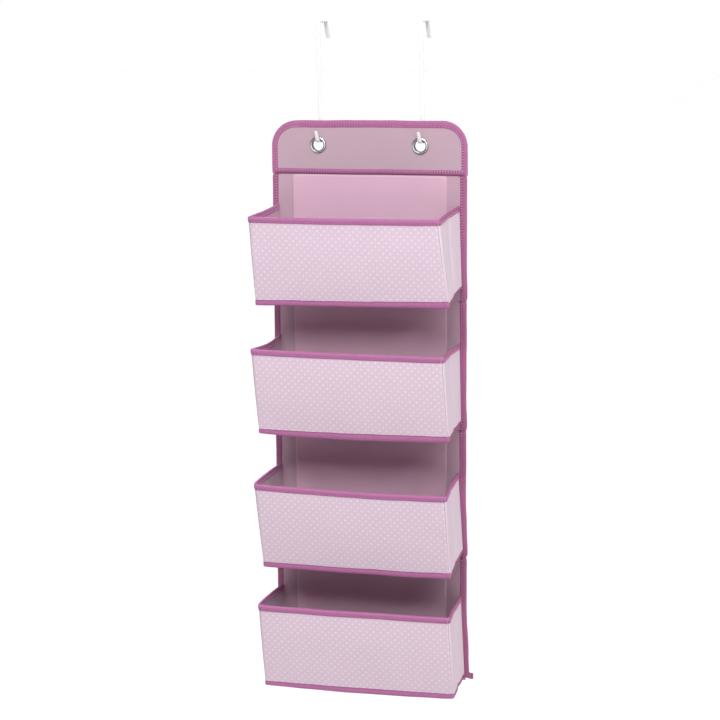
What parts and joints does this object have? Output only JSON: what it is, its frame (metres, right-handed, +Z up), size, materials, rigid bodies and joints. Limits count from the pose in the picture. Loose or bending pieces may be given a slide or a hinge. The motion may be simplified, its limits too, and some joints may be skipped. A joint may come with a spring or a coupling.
{
  "type": "hanging toiletry organiser",
  "caption": "Over-the-door hanging fabric organiser: a bound header on flat door hooks, with hinged tiers whose open box pockets push flat.",
  "frame": {"origin": "top of the door, midway between the hooks and through the door's thickness, on the undersides of the hook tops", "axes": "+X to the organiser's right as seen from the back of the door, which is the viewer's right when facing its pockets; -Y out of the pockets' fronts; +Z up"},
  "size_m": [0.314, 0.1953, 1.02],
  "materials": {
    "binding_tape": "satin woven tape",
    "header_cloth": "plain non-woven",
    "back_cloth": "plain non-woven",
    "front_cloth": "non-woven with small pale dots",
    "gusset_cloth": "plain non-woven",
    "lining_cloth": "plain non-woven",
    "stiffener_board": "grey card, enclosed",
    "hook_enamel": "gloss white",
    "grommet_chrome": "polished"
  },
  "bodies": {
    "hooks": {"over_door_hook_left": "hook_enamel", "over_door_hook_right": "hook_enamel"},
    "header": {"header_panel": "header_cloth", "header_binding": "binding_tape", "header_cross_binding": "binding_tape", "grommet_eyelet_left": "grommet_chrome", "grommet_eyelet_right": "grommet_chrome", "grommet_washer_left": "grommet_chrome", "grommet_washer_right": "grommet_chrome"},
    "tier_1": {"back_panel_1": "back_cloth", "back_board_1": "stiffener_board", "back_lining_1": "lining_cloth", "edge_binding_left_1": "binding_tape", "edge_binding_right_1": "binding_tape", "gusset_left_1": "gusset_cloth", "gusset_right_1": "gusset_cloth", "pocket_floor_1": "gusset_cloth"},
    "pocket_front_1": {"front_panel_1": "front_cloth", "front_board_1": "stiffener_board", "rim_binding_1": "binding_tape", "base_binding_1": "binding_tape"},
    "tier_2": {"back_panel_2": "back_cloth", "back_board_2": "stiffener_board", "back_lining_2": "lining_cloth", "edge_binding_left_2": "binding_tape", "edge_binding_right_2": "binding_tape", "gusset_left_2": "gusset_cloth", "gusset_right_2": "gusset_cloth", "pocket_floor_2": "gusset_cloth"},
    "pocket_front_2": {"front_panel_2": "front_cloth", "front_board_2": "stiffener_board", "rim_binding_2": "binding_tape", "base_binding_2": "binding_tape"},
    "tier_3": {"back_panel_3": "back_cloth", "back_board_3": "stiffener_board", "back_lining_3": "lining_cloth", "edge_binding_left_3": "binding_tape", "edge_binding_right_3": "binding_tape", "gusset_left_3": "gusset_cloth", "gusset_right_3": "gusset_cloth", "pocket_floor_3": "gusset_cloth"},
    "pocket_front_3": {"front_panel_3": "front_cloth", "front_board_3": "stiffener_board", "rim_binding_3": "binding_tape", "base_binding_3": "binding_tape"},
    "tier_4": {"back_panel_4": "back_cloth", "back_board_4": "stiffener_board", "back_lining_4": "lining_cloth", "edge_binding_left_4": "binding_tape", "edge_binding_right_4": "binding_tape", "gusset_left_4": "gusset_cloth", "gusset_right_4": "gusset_cloth", "pocket_floor_4": "gusset_cloth", "bottom_hem": "binding_tape"},
    "pocket_front_4": {"front_panel_4": "front_cloth", "front_board_4": "stiffener_board", "rim_binding_4": "binding_tape", "base_binding_4": "binding_tape"}
  },
  "joints": [
    {"name": "header_lift", "type": "slide", "parent": "hooks", "child": "header", "axis": [0, 0, 1], "range_m": [0, 0.011]},
    {"name": "header_fold", "type": "hinge", "parent": "header", "child": "tier_1", "pos_m": [0, -0.0305, -0.228], "axis": [-1, 0, 0], "range_deg": [0, 90]},
    {"name": "tier_fold_1", "type": "hinge", "parent": "tier_1", "child": "tier_2", "pos_m": [0, -0.0305, -0.418], "axis": [-1, 0, 0], "range_deg": [0, 25]},
    {"name": "tier_fold_2", "type": "hinge", "parent": "tier_2", "child": "tier_3", "pos_m": [0, -0.0305, -0.618], "axis": [-1, 0, 0], "range_deg": [0, 25]},
    {"name": "tier_fold_3", "type": "hinge", "parent": "tier_3", "child": "tier_4", "pos_m": [0, -0.0305, -0.818], "axis": [-1, 0, 0], "range_deg": [0, 25]},
    {"name": "pocket_collapse_1", "type": "slide", "parent": "tier_1", "child": "pocket_front_1", "axis": [0, 1, 0], "range_m": [0, 0.105], "deforming": ["gusset_left_1", "gusset_right_1", "pocket_floor_1"]},
    {"name": "pocket_collapse_2", "type": "slide", "parent": "tier_2", "child": "pocket_front_2", "axis": [0, 1, 0], "range_m": [0, 0.105], "deforming": ["gusset_left_2", "gusset_right_2", "pocket_floor_2"]},
    {"name": "pocket_collapse_3", "type": "slide", "parent": "tier_3", "child": "pocket_front_3", "axis": [0, 1, 0], "range_m": [0, 0.105], "deforming": ["gusset_left_3", "gusset_right_3", "pocket_floor_3"]},
    {"name": "pocket_collapse_4", "type": "slide", "parent": "tier_4", "child": "pocket_front_4", "axis": [0, 1, 0], "range_m": [0, 0.105], "deforming": ["gusset_left_4", "gusset_right_4", "pocket_floor_4"]}
  ]
}
